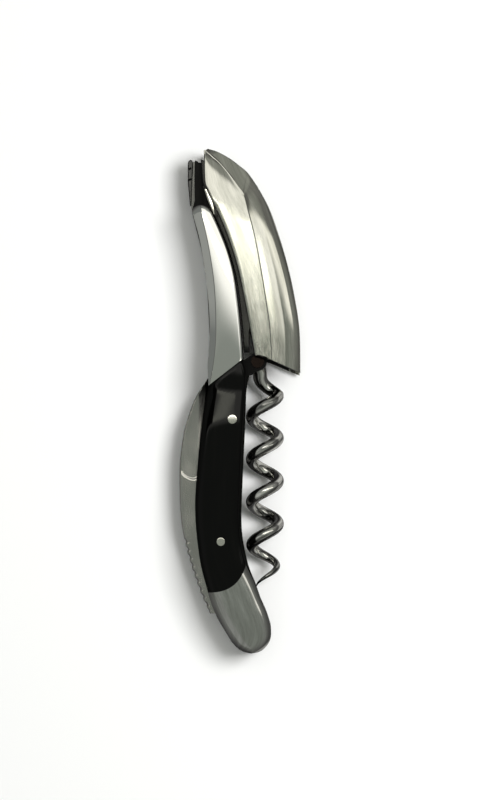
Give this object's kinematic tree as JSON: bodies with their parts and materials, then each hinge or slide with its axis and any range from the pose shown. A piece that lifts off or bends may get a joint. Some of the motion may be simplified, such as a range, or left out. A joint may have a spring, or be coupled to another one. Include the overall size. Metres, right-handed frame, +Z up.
{
  "type": "lever corkscrew",
  "caption": "Folding waiter's corkscrew with a curved horn-scaled handle, a channel lever that seats on the bottle, a helical worm and a foil blade.",
  "frame": {"origin": "under the middle of the outline, on the surface that the object lies on", "axes": "+Z up through the handle's thickness; +Y along the handle towards the lever's hinge; +X towards the worm"},
  "size_m": [0.0302, 0.1256, 0.0152],
  "materials": {
    "liner_steel": "satin",
    "horn": "polished black horn",
    "bolster_steel": "mirror polished steel",
    "spring_steel": "satin",
    "pin_silver": "polished nickel silver",
    "lever_steel": "brushed along its length",
    "frame_steel": "satin",
    "worm_steel": "polished hardened steel",
    "blade_steel": "polished, hollow ground"
  },
  "bodies": {
    "handle": {"front_liner": "liner_steel", "rear_liner": "liner_steel", "front_scale": "horn", "rear_scale": "horn", "front_top_bolster": "bolster_steel", "rear_top_bolster": "bolster_steel", "front_end_bolster": "bolster_steel", "rear_end_bolster": "bolster_steel", "lever_spring": "spring_steel", "spring_crest": "spring_steel", "centre_spring": "spring_steel", "upper_scale_pin": "pin_silver", "lower_scale_pin": "pin_silver", "top_bolster_rivets": "pin_silver", "end_bolster_rivets": "pin_silver", "lever_pivot_pin": "pin_silver", "worm_pivot_pin": "pin_silver", "blade_pivot_pin": "pin_silver"},
    "lever": {"lever_shell": "lever_steel", "front_lever_frame": "frame_steel", "rear_lever_frame": "frame_steel", "lever_tang": "frame_steel", "frame_rivets": "pin_silver"},
    "corkscrew": {"worm": "worm_steel", "worm_hub": "worm_steel"},
    "blade": {"foil_blade": "blade_steel"}
  },
  "joints": [
    {"name": "lever_swing", "type": "hinge", "parent": "handle", "child": "lever", "pos_m": [-0.0074, 0.056, 0.0076], "axis": [0, 0, 1], "range_deg": [0, 160]},
    {"name": "worm_swing", "type": "hinge", "parent": "handle", "child": "corkscrew", "pos_m": [0.0044, 0.0097, 0.0076], "axis": [0, 0, 1], "range_deg": [0, 90]},
    {"name": "blade_swing", "type": "hinge", "parent": "handle", "child": "blade", "pos_m": [-0.0024, -0.0508, 0.0076], "axis": [0, 0, 1], "range_deg": [0, 180]}
  ]
}
